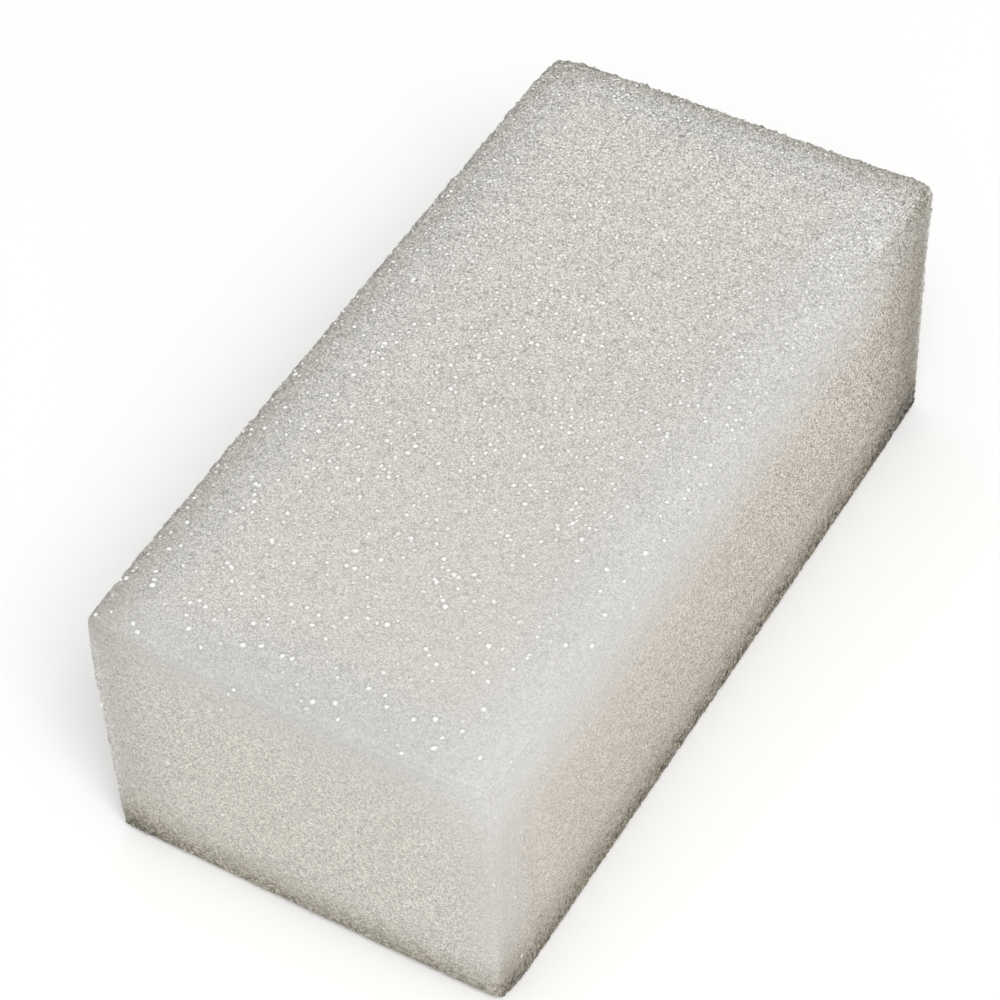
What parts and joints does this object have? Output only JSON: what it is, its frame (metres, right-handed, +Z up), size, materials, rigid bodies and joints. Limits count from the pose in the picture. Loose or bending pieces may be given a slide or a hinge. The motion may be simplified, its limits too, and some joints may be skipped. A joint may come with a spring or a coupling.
{
  "type": "nail buffer block",
  "caption": "Rectangular foam block with abrasive grit coats on all faces, for buffing and shaping nails.",
  "frame": {"origin": "centre of the face the block rests on, at the bottom of the block", "axes": "+Y along the block's length, from the front end to the rear end; +X across the width, to the right side; +Z up through the height"},
  "size_m": [0.0346, 0.07, 0.0254],
  "materials": {
    "foam": "matte",
    "coarse_grit": "matte",
    "fine_grit": "matte"
  },
  "bodies": {
    "root": {"foam_core": "foam", "top_grit_coat": "coarse_grit", "bottom_grit_coat": "coarse_grit", "right_side_grit_coat": "fine_grit", "left_side_grit_coat": "fine_grit", "front_end_grit_coat": "fine_grit", "rear_end_grit_coat": "fine_grit"}
  },
  "joints": []
}
